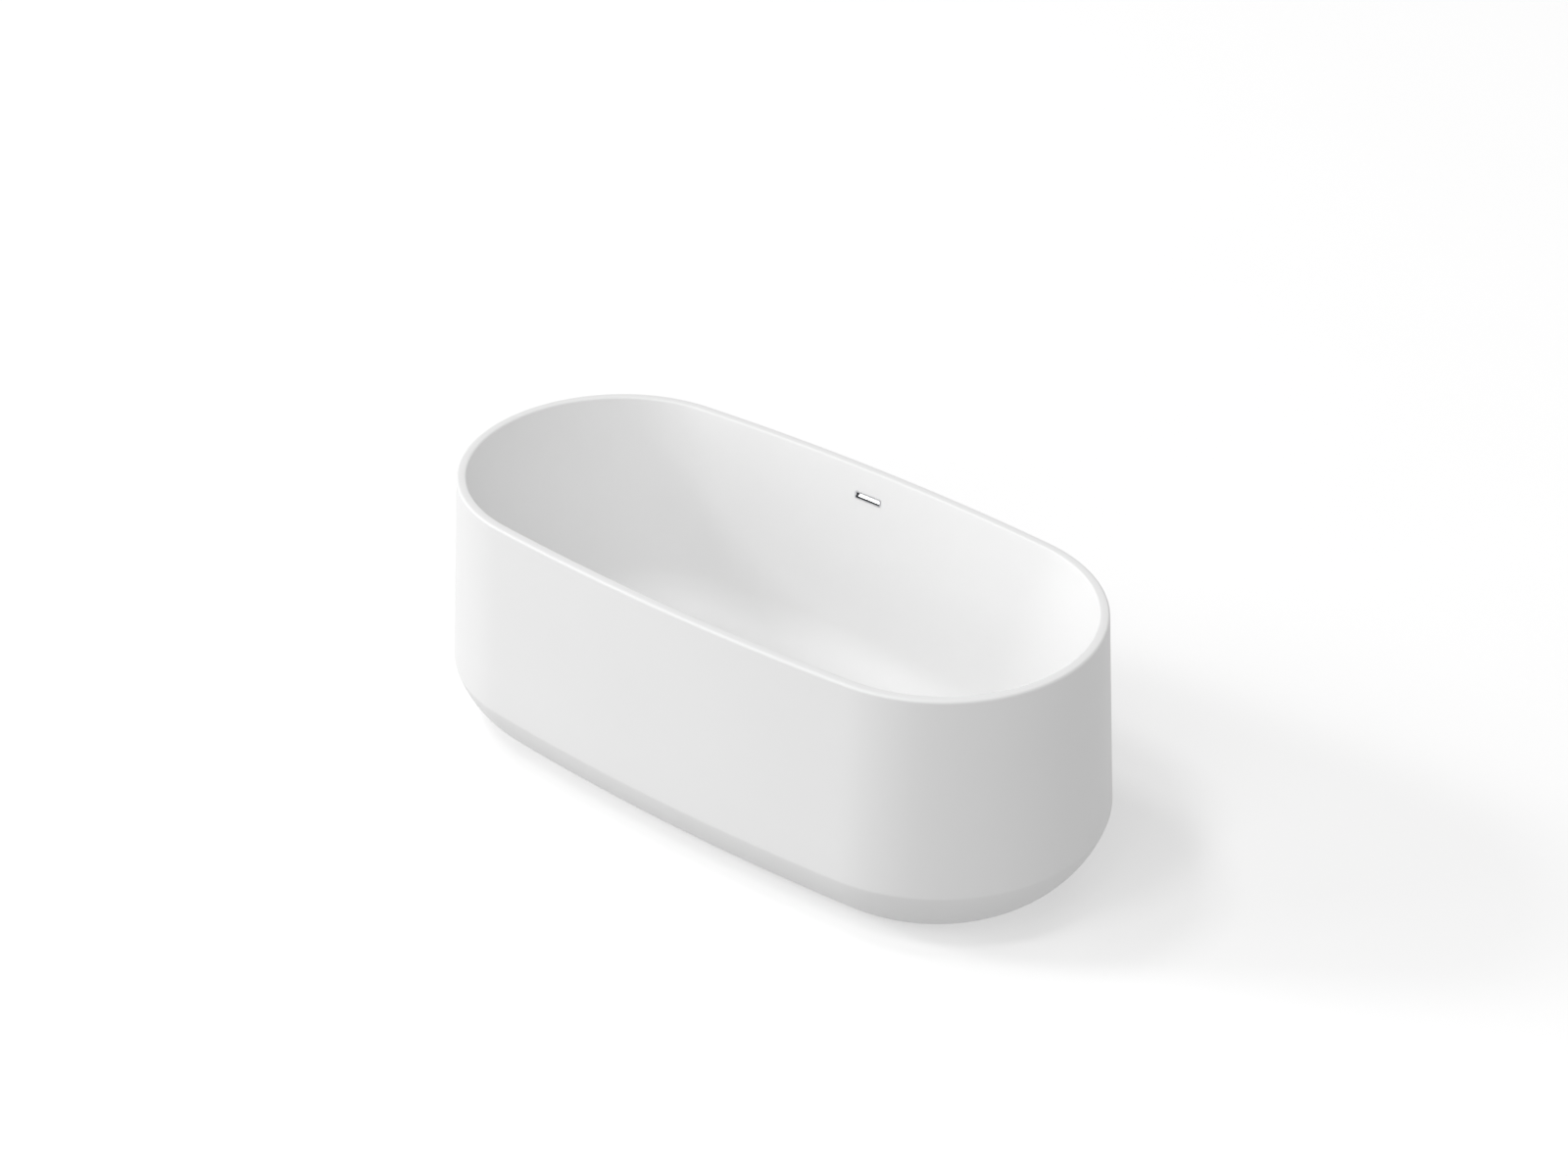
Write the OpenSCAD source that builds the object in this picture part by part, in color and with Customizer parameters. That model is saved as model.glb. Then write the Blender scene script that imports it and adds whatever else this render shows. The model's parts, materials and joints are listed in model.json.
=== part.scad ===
// Freestanding oval bathtub. A basin and a flared skirt are bonded together at the rim. The
// basin is laminated to two base boards on a steel frame with four levelling feet, and it has a
// slot overflow in the back wall and a toe-tap waste in the middle of the floor.
// X runs along the length, Y from the front to the back, Z up. The origin is on the floor,
// at the middle of the tub. All sizes are in millimetres.

/* [Outer shape] */
// Height of the rim above the floor
tub_h = 600; // [590:1:615]
// Length over the rim
rim_l = 1588; // [1540:2:1640]
// Width over the rim
rim_w = 738; // [730:2:760]
// Half width less end radius: how far the long sides are from a plain half circle end
side_bulge = 19; // [16:1:24]
// How far the wall flares outward between the rim and the break line, on each side
flare = 31; // [26:1:36]
// Height of the break line, where the undercut starts
break_h = 136; // [130:1:142]
// How far the foot of the skirt is inside the break line
foot_inset = 90; // [84:1:92]
// Half the angle that the undercut's arc turns through, in degrees
undercut_turn = 19.6; // [15:0.1:21]
// Gap between the foot of the skirt and the floor
foot_gap = 3; // [2:0.5:4]

/* [Rim] */
// Width of the rim from its outer to its inner edge
rim_band = 22.6; // [22:0.1:24]
// Rounding of the rim's outer edge
rim_outer_r = 6; // [5.5:0.1:6.5]
// Rounding of the rim's inner edge
rim_inner_r = 5; // [4:0.1:6]

/* [Basin] */
// Height of the basin floor above the floor of the room
basin_floor = 135; // [134:0.5:138]
// How far the back and front walls lean in from rim to floor
side_lean = 70; // [66:1:74]
// How far the two end walls lean in from rim to floor
end_lean = 170; // [150:1:180]
// Radius between the side walls and the basin floor
side_fillet = 90; // [80:1:100]
// Radius between the end walls and the basin floor
end_fillet = 130; // [120:1:140]
// Thickness of the basin's and the skirt's reinforced acrylic
shell_t = 6; // [5:0.1:6]

/* [Overflow] */
// Depth of the overflow's centre below the rim
overflow_depth = 65; // [60:1:70]
// Length and height of the overflow trim
overflow_trim_size = [70.4, 18];
// Length and height of the opening through the trim
overflow_slot_size = [65, 12.8];
// Angle between the overflow's deflector and the wall
deflector_angle = 30; // [20:1:35]

/* [Waste] */
// Outer radius of the tailpiece, a 38.1 mm pipe
tail_r = 19.05; // [19.05:0.01:19.06]
// Height of the tailpiece's cut end above the floor
tail_end = 6; // [4:1:10]
// Radius of the plug's cap
cap_r = 29; // [27:1:31]

/* [Frame and feet] */
// Distance from the tub's middle to each cross rail
cross_rail_x = 430; // [420:1:440]
// Distance from the centre line to each levelling foot
foot_y = 205; // [203:1:208]
// Distance from the centre line to each long rail
long_rail_y = 160; // [155:1:165]
// Width and height of the rails' steel tube
rail_size = [30, 20];
// Radius of a foot's pad
pad_r = 25; // [22:1:26]
// Radius of a foot's threaded stud
stud_r = 6; // [5.9:0.1:6]

/* [Hidden] */
corners = ["front_left", "front_right", "back_left", "back_right"];

$fn = 72;
shell_white = [0.95, 0.95, 0.94];
zinc = [0.72, 0.73, 0.75];
chrome = [0.85, 0.86, 0.88];
brass = [0.78, 0.62, 0.30];
black_rubber = [0.10, 0.10, 0.11];
grey_plastic = [0.55, 0.57, 0.60];
frame_grey = [0.35, 0.36, 0.38];
plywood = [0.76, 0.60, 0.42];

eps = 0.5;               // how far a cut runs past the face it starts from
running_gap = 0.05;      // radial clearance of a stud or stem in its nut or guide
screw_gap = 0.1;         // radial clearance of a fixed screw in its hole

// Plan of the tub: steps around a quarter of the oval
end_steps = 16;
side_steps = 5;
quarter_steps = end_steps + side_steps;
arc_steps = 8;
round_steps = 3;

// Levels of the base, from the basin floor down
basin_under = basin_floor - shell_t;
board_t = 18;
board_under = basin_under - board_t;
rail_w = rail_size[0];
rail_h = rail_size[1];
rail_wall = 2;
long_rail_z = board_under - rail_h;
cross_rail_z = long_rail_z - rail_h;
board_l = 1000;
board_w = 400;
board_corner = 150;
board_gap = 110;
long_rail_l = 940;
cross_rail_l = 524;

// Rim
seam_h = tub_h - rim_outer_r;
wall_top = tub_h - rim_inner_r;
inner_a = rim_l / 2 - rim_band;
inner_b = rim_w / 2 - rim_band;
lip_out = -shell_t - 0.3;
lip_t = 4;
lip_h = 22;

// Screws and bolts
screw_spots = [-380, -150, 150, 380];
screw_r = 2.5;
bolt_r = 3;

// Foot parts
weld_nut_h = 10;
lock_nut_h = 8;
nut_flats = 19;
pad_h = 10;
stud_top = 110;
hex_z = 12;
hex_h = 8;

// Brackets between the cross rails and the skirt
bracket_w = 30;
bracket_t = 3;
bracket_start = foot_y + 24;
bracket_end = 350;
bracket_h = 95;
block_size = [40, 20, 44];
block_z = 138;
bracket_hole_y = bracket_start + 10;
tab_screw_z = block_z + block_size[2] / 2;

// Waste, from the basin floor down
waste_hole_r = 24.5;
flange_r = 35;
flange_t = 3.2;
throat_r = 20.5;
flange_tube_r = 23.5;
flange_tube_end = 104;
gasket_t = 3;
shoe_top = basin_under - gasket_t;
shoe_flange_r = 37;
shoe_r = 28.5;
shoe_end = 50;
outlet_r = 24;
outlet_end = 38;
washer_t = 2.5;
flange_z = outlet_end - washer_t - 1.5;   // underside of the tailpiece's flange
nut_end = 31;
inlet_z = 71;
spigot_r = 13;
stem_r = 4;
stem_end = 98;
hub_z = 106;
hub_h = 4;
cartridge_r = 6.9;
cap_gap = 0.8;
cap_z = basin_floor + flange_t + cap_gap;
boss_r = 14;
boss_z = basin_floor - 4;

// Overflow
overflow_z = tub_h - overflow_depth;
side_lean_angle = atan(side_lean / (wall_top - basin_floor));
overflow_y = inner_b - side_lean * (wall_top - overflow_z) / (wall_top - basin_floor);
trim_proud = 1.5;
trim_seat = 0.3;          // the wall's curve behind the flat trim
hole_size = [68.2, 16];
neck_size = [67.6, 15.4];
neck_bore = [65.8, 13.6];
gasket_size = [84, 34];
overflow_gasket_t = 2;
box_y = shell_t + overflow_gasket_t;
hose_y = 346;
hose_r = 16;
hose_bend = 90;
hose_top = 424;
hose_inner_end = 36;

// ---------- Oval sections and lofted shells ----------

function side_radius(a, b, r) = ((a - r) * (a - r) + b * b - r * r) / (2 * (b - r));

// A quarter of the oval, from [a, 0] to [0, b]: an end arc and a long side arc, tangent
function quarter(a, b) =
    let (r = b - side_bulge, big = side_radius(a, b, r), join = atan2(big - b, a - r))
    [
        for (i = [0 : end_steps - 1])
            let (t = join * i / end_steps) [a - r + r * cos(t), r * sin(t)],
        for (i = [0 : side_steps])
            let (t = join + (90 - join) * i / side_steps) [big * cos(t), big * sin(t) + b - big]
    ];

// The whole oval at height z, counter-clockwise from above
function oval(a, b, z) =
    let (q = quarter(a, b), n = quarter_steps)
    [
        for (i = [0 : n - 1]) [q[i][0], q[i][1], z],
        for (i = [0 : n - 1]) [-q[n - i][0], q[n - i][1], z],
        for (i = [0 : n - 1]) [-q[i][0], -q[i][1], z],
        for (i = [0 : n - 1]) [q[n - i][0], -q[n - i][1], z]
    ];

// The rim's oval grown by d
function rim_oval(d, z) = oval(rim_l / 2 + d, rim_w / 2 + d, z);

// A skin through rings: it is capped at its first and last ring, or it closes on itself
module skin(rings, looped = false) {
    n = len(rings[0]);
    m = len(rings);
    last = looped ? m - 1 : m - 2;
    points = [for (ring = rings) each ring];
    walls = [
        for (k = [0 : last])
            for (i = [0 : n - 1])
                let (a = k * n, b = ((k + 1) % m) * n, j = (i + 1) % n)
                each [[a + i, a + j, b + j], [a + i, b + j, b + i]]
    ];
    caps = looped ? [] : [[for (i = [n - 1 : -1 : 0]) i], [for (i = [0 : n - 1]) (m - 1) * n + i]];
    polyhedron(points, concat(walls, caps), convexity = 10);
}

// How far the wall is inside the rim's inner edge at height z, on the face that lies
// depth t behind the basin's inner face. The wall is straight and then turns on radius r.
function wall_inset(z, lean, r, t) =
    let (
        height = wall_top - basin_floor,
        angle = atan(lean / height),
        centre = lean + r * tan((90 - angle) / 2),
        arc_top = basin_floor + r - (r + t) * sin(angle)
    )
    z > arc_top
        ? lean * (wall_top - z) / height - t / cos(angle)
        : centre - sqrt(max(0, pow(r + t, 2) - pow(basin_floor + r - z, 2)));

function basin_oval(z, t) = oval(
    inner_a - wall_inset(z, end_lean, end_fillet, t),
    inner_b - wall_inset(z, side_lean, side_fillet, t),
    z
);

// Heights of the rings through the fillet, closest together where it meets the floor
function fillet_heights(t) = [
    for (i = [0 : arc_steps + 2])
        basin_floor - t + (end_fillet + t) * (1 - cos(78 * i / (arc_steps + 2)))
];

// Outward growth of the skirt's face at height z
function skirt_growth(z) = flare * (tub_h - z) / (tub_h - break_h);

module basin_shell() {
    inside = [for (z = concat(fillet_heights(0), [wall_top])) basin_oval(z, 0)];
    top_growth = skirt_growth(seam_h);
    inner_edge = [
        for (i = [1 : round_steps])
            let (t = 90 * i / round_steps)
            rim_oval(-rim_band + rim_inner_r * (1 - cos(t)), wall_top + rim_inner_r * sin(t))
    ];
    outer_edge = [
        for (i = [0 : round_steps])
            let (t = 90 - 90 * i / round_steps)
            rim_oval(top_growth - rim_outer_r * (1 - cos(t)), seam_h + rim_outer_r * sin(t))
    ];
    lip = [
        rim_oval(lip_out, seam_h),
        rim_oval(lip_out, seam_h - lip_h),
        rim_oval(lip_out - lip_t, seam_h - lip_h),
        rim_oval(lip_out - lip_t, seam_h)
    ];
    heights = fillet_heights(shell_t);
    outside = [
        for (i = [0 : len(heights)])
            basin_oval(i == 0 ? seam_h : heights[len(heights) - i], shell_t)
    ];
    skin(concat(inside, inner_edge, outer_edge, lip, outside));
}

// Points [growth, z] down the undercut's arc, on the face that lies depth t inside it
function undercut(t) =
    let (
        drop = break_h - foot_gap,
        chord_angle = atan2(drop, foot_inset),
        r = norm([foot_inset, drop]) / 2 / sin(undercut_turn),
        first = chord_angle + undercut_turn,
        centre = [flare - r * sin(first), break_h + r * cos(first)]
    )
    [
        for (i = [0 : arc_steps])
            let (a = first - 2 * undercut_turn * i / arc_steps)
            [centre[0] + (r - t) * sin(a), centre[1] - (r - t) * cos(a)]
    ];

module skirt_shell() {
    turned_in = 24;
    outer = undercut(0);
    inner = undercut(shell_t);
    foot = outer[arc_steps];
    above = [for (p = inner) if (p[1] > foot_gap + shell_t + 1) p];
    top_growth = skirt_growth(seam_h);
    profile = concat(
        [[top_growth, seam_h]],
        outer,
        [[foot[0] - turned_in, foot_gap], [foot[0] - turned_in, foot_gap + shell_t]],
        [for (i = [len(above) - 1 : -1 : 0]) above[i]],
        [[top_growth - shell_t, seam_h]]
    );
    skin([for (p = profile) rim_oval(p[0], p[1])], looped = true);
}

// ---------- Small shapes ----------

module rounded_rect(w, h, r) {
    square([w - 2 * r, h], center = true);
    square([w, h - 2 * r], center = true);
    for (x = [-1, 1])
        for (y = [-1, 1])
            translate([x * (w / 2 - r), y * (h / 2 - r)])
                circle(r);
}

// A rounded slab that stands in the XZ plane and runs from y to y + depth
module upright_slab(size, r, y, depth) {
    translate([0, y, 0])
        rotate([-90, 0, 0])
            linear_extrude(depth)
                rounded_rect(size[0], size[1], r);
}

module ring(inner_r, outer_r, z, h) {
    translate([0, 0, z])
        difference() {
            cylinder(r = outer_r, h = h);
            translate([0, 0, -eps])
                cylinder(r = inner_r, h = h + 2 * eps);
        }
}

// Hexagonal nut on the Z axis, its flats apart by flats
module hex_nut(flats, bore_r, z, h) {
    translate([0, 0, z])
        difference() {
            cylinder(d = flats / cos(30), h = h, $fn = 6);
            translate([0, 0, -eps])
                cylinder(r = bore_r, h = h + 2 * eps);
        }
}

// Hollow rail with its length along X, centred on X and Y, its underside at z
module rail(length, z) {
    translate([-length / 2, -rail_w / 2, z])
        difference() {
            cube([length, rail_w, rail_h]);
            translate([-eps, rail_wall, rail_wall])
                cube([length + 2 * eps, rail_w - 2 * rail_wall, rail_h - 2 * rail_wall]);
        }
}

// The children at a corner of the frame, mirrored from the back right one
module at_corner(name) {
    x_side = name == "front_left" || name == "back_left" ? 1 : 0;
    y_side = name == "front_left" || name == "front_right" ? 1 : 0;
    mirror([x_side, 0, 0])
        mirror([0, y_side, 0])
            children();
}

module at_all_corners() {
    for (name = corners)
        at_corner(name)
            children();
}

// The frame of the overflow: its middle is on the basin's inner wall, +Y goes out through
// the wall and +Z up along it
module at_overflow() {
    translate([0, overflow_y, overflow_z])
        rotate([-side_lean_angle, 0, 0])
            children();
}

// ---------- Shells and board ----------

module basin() {
    color(shell_white)
        difference() {
            basin_shell();
            translate([0, 0, basin_under - eps])
                cylinder(r = waste_hole_r, h = shell_t + 2 * eps);
            at_overflow()
                upright_slab(hole_size, 2.8, -4, shell_t + 8);
        }
}

module skirt() {
    color(shell_white) skirt_shell();
}

// One of the two boards laminated under the basin, clear of the waste between them
module base_board(side) {
    color(plywood)
        difference() {
            translate([0, 0, board_under])
                linear_extrude(board_t)
                    intersection() {
                        rounded_rect(board_l, board_w, board_corner);
                        translate([side * (board_l + board_gap) / 2, 0])
                            square([board_l, board_w + 2], center = true);
                    }
            for (x = screw_spots)
                for (y = [-long_rail_y, long_rail_y])
                    translate([x, y, board_under - eps])
                        cylinder(r = screw_r + running_gap, h = board_t - 4);
        }
}

module base_board_left() {
    base_board(-1);
}

module base_board_right() {
    base_board(1);
}

// ---------- Frame ----------

module long_rail(side) {
    color(frame_grey)
        translate([0, side * long_rail_y, 0])
            difference() {
                rail(long_rail_l, long_rail_z);
                for (x = screw_spots)
                    translate([x, 0, long_rail_z - eps])
                        cylinder(r = screw_r + screw_gap, h = rail_h + 2 * eps);
                for (x = [-cross_rail_x, cross_rail_x])
                    translate([x, 0, long_rail_z - eps])
                        cylinder(r = bolt_r + screw_gap, h = rail_wall + 2 * eps);
            }
}

module long_rail_front() {
    long_rail(-1);
}

module long_rail_back() {
    long_rail(1);
}

module cross_rail(side) {
    color(frame_grey)
        translate([side * cross_rail_x, 0, 0])
            difference() {
                rotate([0, 0, 90])
                    rail(cross_rail_l, cross_rail_z);
                for (y = [-long_rail_y, long_rail_y])
                    translate([0, y, cross_rail_z - eps])
                        cylinder(r = bolt_r + screw_gap, h = rail_h + 2 * eps);
                for (y = [-foot_y, foot_y])
                    translate([0, y, cross_rail_z - eps])
                        cylinder(r = stud_r + 0.6, h = rail_h + 2 * eps);
                for (y = [-bracket_hole_y, bracket_hole_y])
                    translate([0, y, cross_rail_z + rail_h - rail_wall - eps])
                        cylinder(r = screw_r + screw_gap, h = rail_wall + 2 * eps);
            }
}

module cross_rail_left() {
    cross_rail(-1);
}

module cross_rail_right() {
    cross_rail(1);
}

// Screws up through the long rails into the board
module rail_screws() {
    color(zinc)
        for (x = screw_spots)
            for (y = [-long_rail_y, long_rail_y])
                translate([x, y, 0]) {
                    translate([0, 0, long_rail_z - 3])
                        cylinder(r = 5, h = 3);
                    translate([0, 0, long_rail_z])
                        cylinder(r = screw_r, h = rail_h + 12);
                }
}

// Bolts up through the cross rails into the long rails
module frame_bolts() {
    color(zinc)
        for (x = [-cross_rail_x, cross_rail_x])
            for (y = [-long_rail_y, long_rail_y])
                translate([x, y, 0]) {
                    translate([0, 0, cross_rail_z - 4])
                        cylinder(d = 10 / cos(30), h = 4, $fn = 6);
                    translate([0, 0, cross_rail_z])
                        cylinder(r = bolt_r, h = rail_h + rail_wall + 8);
                }
}

module frame_nuts() {
    color(zinc)
        for (x = [-cross_rail_x, cross_rail_x])
            for (y = [-long_rail_y, long_rail_y])
                translate([x, y, 0])
                    hex_nut(10, bolt_r + running_gap, long_rail_z + rail_wall, 5);
}

module foot_weld_nuts() {
    color(zinc)
        at_all_corners()
            translate([cross_rail_x, foot_y, 0])
                hex_nut(nut_flats, stud_r + running_gap, cross_rail_z + rail_h, weld_nut_h);
}

module foot_lock_nuts() {
    color(zinc)
        at_all_corners()
            translate([cross_rail_x, foot_y, 0])
                hex_nut(nut_flats, stud_r + running_gap, cross_rail_z - lock_nut_h, lock_nut_h);
}

// ---------- Levelling feet ----------

module pad(name) {
    socket_r = stud_r + 2;
    color(black_rubber)
        at_corner(name)
            translate([cross_rail_x, foot_y, 0])
                difference() {
                    rotate_extrude()
                        polygon([
                            [0, 0], [pad_r - 1, 0], [pad_r, 1], [pad_r, 4],
                            [pad_r - 3, 6], [socket_r + 3, pad_h], [0, pad_h]
                        ]);
                    translate([0, 0, 4])
                        cylinder(r = socket_r, h = pad_h);
                }
}

module stud(name) {
    color(zinc)
        at_corner(name)
            translate([cross_rail_x, foot_y, 0]) {
                translate([0, 0, 4])
                    cylinder(r = stud_r + 2, h = hex_z - 4);
                translate([0, 0, hex_z])
                    cylinder(d = nut_flats / cos(30), h = hex_h, $fn = 6);
                translate([0, 0, hex_z + hex_h])
                    cylinder(r = stud_r, h = stud_top - hex_z - hex_h - 1);
                translate([0, 0, stud_top - 1])
                    cylinder(r1 = stud_r, r2 = stud_r - 1, h = 1);
            }
}

module pad_front_left() {
    pad("front_left");
}

module pad_front_right() {
    pad("front_right");
}

module pad_back_left() {
    pad("back_left");
}

module pad_back_right() {
    pad("back_right");
}

module stud_front_left() {
    stud("front_left");
}

module stud_front_right() {
    stud("front_right");
}

module stud_back_left() {
    stud("back_left");
}

module stud_back_right() {
    stud("back_right");
}

// ---------- Brackets that hold the foot of the skirt ----------

module bracket(name) {
    color(zinc)
        at_corner(name)
            translate([cross_rail_x - bracket_w / 2, bracket_start, long_rail_z])
                difference() {
                    union() {
                        cube([bracket_w, bracket_end - bracket_start, bracket_t]);
                        translate([0, bracket_end - bracket_start - bracket_t, 0])
                            cube([bracket_w, bracket_t, bracket_h]);
                    }
                    translate([bracket_w / 2, bracket_hole_y - bracket_start, -eps])
                        cylinder(r = screw_r + screw_gap, h = bracket_t + 2 * eps);
                    translate([bracket_w / 2, bracket_end - bracket_start + eps, tab_screw_z - long_rail_z])
                        rotate([90, 0, 0])
                            cylinder(r = screw_r + screw_gap, h = bracket_t + 2 * eps);
                }
}

module bracket_front_left() {
    bracket("front_left");
}

module bracket_front_right() {
    bracket("front_right");
}

module bracket_back_left() {
    bracket("back_left");
}

module bracket_back_right() {
    bracket("back_right");
}

// Timber blocks bonded to the skirt, one behind each bracket's tab
module bond_blocks() {
    color(plywood)
        at_all_corners()
            difference() {
                translate([cross_rail_x - block_size[0] / 2, bracket_end, block_z])
                    cube(block_size);
                translate([cross_rail_x, bracket_end - eps, tab_screw_z])
                    rotate([-90, 0, 0])
                        cylinder(r = screw_r + running_gap, h = 14);
            }
}

module bracket_screws() {
    color(zinc)
        at_all_corners() {
            translate([cross_rail_x, bracket_hole_y, long_rail_z + bracket_t]) {
                cylinder(r = 5, h = 3);
                translate([0, 0, -12])
                    cylinder(r = screw_r, h = 12);
            }
            translate([cross_rail_x, bracket_end - bracket_t, tab_screw_z])
                rotate([90, 0, 0]) {
                    cylinder(r = 5, h = 3);
                    translate([0, 0, -14])
                        cylinder(r = screw_r, h = 14);
                }
        }
}

// ---------- Overflow ----------

// A thin frame around the slot, with a sloping deflector hung from its top. Water runs in
// under the deflector and past its ends
module overflow_trim() {
    frame_back = -trim_seat;
    plate_w = overflow_slot_size[0] - 2;
    plate_t = 1.2;
    plate_low = [3.5, -4.6];    // the front of the deflector's lower edge, in depth and height
    web_t = 1;
    web_front = frame_back - trim_proud + 0.6;
    web_top = neck_bore[1] / 2 - 0.2;
    web_under = web_top - web_t;
    slope = tan(deflector_angle);
    plate_top_y = plate_low[0] + slope * (web_top - plate_low[1]);
    color(chrome)
        at_overflow() {
            difference() {
                upright_slab(overflow_trim_size, 2.5, frame_back - trim_proud, trim_proud);
                upright_slab(overflow_slot_size, 1.5, -2 * trim_proud, 3 * trim_proud);
            }
            translate([-plate_w / 2, 0, 0])
                rotate([90, 0, 90])
                    linear_extrude(plate_w)
                        polygon([
                            [web_front, web_top], [plate_top_y + plate_t, web_top],
                            [plate_low[0] + plate_t, plate_low[1]], plate_low,
                            [plate_top_y - slope * web_t, web_under], [web_front, web_under]
                        ]);
        }
}

module overflow_gasket() {
    color(black_rubber)
        at_overflow()
            difference() {
                upright_slab(gasket_size, 6, shell_t + 0.1, overflow_gasket_t - 0.1);
                upright_slab(hole_size, 2.8, shell_t - eps, overflow_gasket_t + 2 * eps);
            }
}

// The hollow box behind the wall, shallow at the top and deeper above its hose spigot, with a
// neck that lines the slot through the wall
module overflow_body() {
    wall = 2;
    top_depth = 16;
    low_depth = 30;
    half_w = 44;
    spigot_half_w = 30;
    neck_front = -0.2;
    color(grey_plastic)
        difference() {
            union() {
                at_overflow() {
                    upright_slab(neck_size, 2.5, neck_front, box_y - neck_front + eps);
                    translate([-half_w, box_y, -60])
                        cube([2 * half_w, top_depth, 80]);
                    translate([-spigot_half_w, box_y, -104])
                        cube([2 * spigot_half_w, low_depth, 46]);
                }
                translate([0, hose_y, 398])
                    cylinder(r = spigot_r, h = 40);
            }
            at_overflow() {
                upright_slab(neck_bore, 1.6, neck_front - eps, box_y - neck_front + wall + 2 * eps);
                translate([wall - half_w, box_y + wall, wall - 60])
                    cube([2 * (half_w - wall), top_depth - 2 * wall, 80 - 2 * wall]);
                translate([wall - spigot_half_w, box_y + wall, wall - 104])
                    cube([2 * (spigot_half_w - wall), low_depth - 2 * wall, 46 - 2 * wall]);
                translate([wall - spigot_half_w, box_y + wall, -62])
                    cube([2 * (spigot_half_w - wall), top_depth - 2 * wall, 6]);
            }
            translate([0, hose_y, 397])
                cylinder(r = spigot_r - wall, h = 42);
        }
}

// The hose drops behind the basin, bends under the frame and runs to the drain shoe
module overflow_hose() {
    bore_r = spigot_r + 0.1;
    color(grey_plastic) {
        translate([0, hose_y, inlet_z + hose_bend])
            difference() {
                cylinder(r = hose_r, h = hose_top - inlet_z - hose_bend);
                translate([0, 0, -eps])
                    cylinder(r = bore_r, h = hose_top - inlet_z - hose_bend + 2 * eps);
            }
        translate([0, hose_y - hose_bend, inlet_z + hose_bend])
            rotate([0, 90, 0])
                rotate_extrude(angle = 90)
                    translate([hose_bend, 0])
                        difference() {
                            circle(hose_r);
                            circle(bore_r);
                        }
        translate([0, hose_y - hose_bend, inlet_z])
            rotate([90, 0, 0])
                difference() {
                    cylinder(r = hose_r, h = hose_y - hose_bend - hose_inner_end);
                    translate([0, 0, -eps])
                        cylinder(r = bore_r, h = hose_y - hose_bend - hose_inner_end + 2 * eps);
                }
    }
}

// A worm-drive clamp around the Z axis, its screw housing towards +X
module hose_clamp() {
    band_w = 10;
    difference() {
        union() {
            cylinder(r = hose_r + 1.2, h = band_w);
            translate([hose_r - 1, -6, 0])
                cube([6, 12, band_w]);
            translate([hose_r + 2.5, -10, band_w / 2])
                rotate([-90, 0, 0])
                    cylinder(r = 3.4, h = 20);
        }
        translate([0, 0, -eps])
            cylinder(r = hose_r + running_gap, h = band_w + 2 * eps);
    }
}

module hose_clamps() {
    color(zinc) {
        translate([0, hose_y, 406])
            hose_clamp();
        translate([0, hose_inner_end + 16, inlet_z])
            rotate([90, 0, 0])
                hose_clamp();
    }
}

// ---------- Waste ----------

// A flanged tube with a hub for the cartridge on two cross bars
module drain_flange() {
    bar_w = 4;
    hub_r = 10;
    color(chrome) {
        rotate_extrude()
            polygon([
                [throat_r, flange_tube_end], [flange_tube_r, flange_tube_end],
                [flange_tube_r, basin_floor], [flange_r, basin_floor],
                [flange_r, basin_floor + 1.2], [flange_r - 3, basin_floor + flange_t],
                [throat_r + 2, basin_floor + flange_t], [throat_r, basin_floor + flange_t - 2]
            ]);
        difference() {
            union() {
                translate([0, 0, hub_z])
                    cylinder(r = hub_r, h = hub_h);
                for (turn = [0, 90])
                    rotate([0, 0, turn])
                        translate([-throat_r - 1, -bar_w / 2, hub_z])
                            cube([2 * throat_r + 2, bar_w, hub_h]);
            }
            translate([0, 0, hub_z - eps])
                cylinder(r = cartridge_r + screw_gap, h = hub_h + 2 * eps);
        }
    }
}

// The push-push cartridge that guides the plug's stem
module toe_tap_cartridge() {
    below = 6;
    collar_h = 4;
    color(brass)
        difference() {
            union() {
                translate([0, 0, hub_z - below])
                    cylinder(r = cartridge_r, h = hub_h + below);
                translate([0, 0, hub_z + hub_h])
                    cylinder(r = 9.5, h = collar_h);
            }
            translate([0, 0, hub_z - below - eps])
                cylinder(r = stem_r + running_gap, h = below + hub_h + collar_h + 2 * eps);
        }
}

module drain_plug() {
    edge = 1.5;
    crown = 4.5;
    flat_r = 3;
    steps = 9;
    edge_r = cap_r - edge;
    // The crown is an arc around a point on the axis, with a small flat in its middle
    crown_r = (pow(edge_r, 2) + pow(crown - edge, 2)) / (2 * (crown - edge));
    function crown_z(r) = cap_z + crown - crown_r + sqrt(pow(crown_r, 2) - pow(r, 2));
    color(chrome)
        rotate_extrude()
            polygon(concat(
                [[0, boss_z], [boss_r, boss_z], [boss_r, cap_z], [cap_r - 1, cap_z], [cap_r, cap_z + 1]],
                [for (i = [0 : steps])
                    let (r = edge_r - (edge_r - flat_r) * i / steps)
                    [r, crown_z(r)]],
                [[0, crown_z(flat_r)]]
            ));
}

module plug_seal() {
    color(black_rubber) ring(boss_r, throat_r - 0.4, boss_z + 1, 3);
}

module plug_stem() {
    color(brass)
        translate([0, 0, stem_end])
            cylinder(r = stem_r, h = boss_z - stem_end);
}

module drain_gasket() {
    color(black_rubber) ring(waste_hole_r, shoe_flange_r - 1, shoe_top, gasket_t);
}

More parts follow.
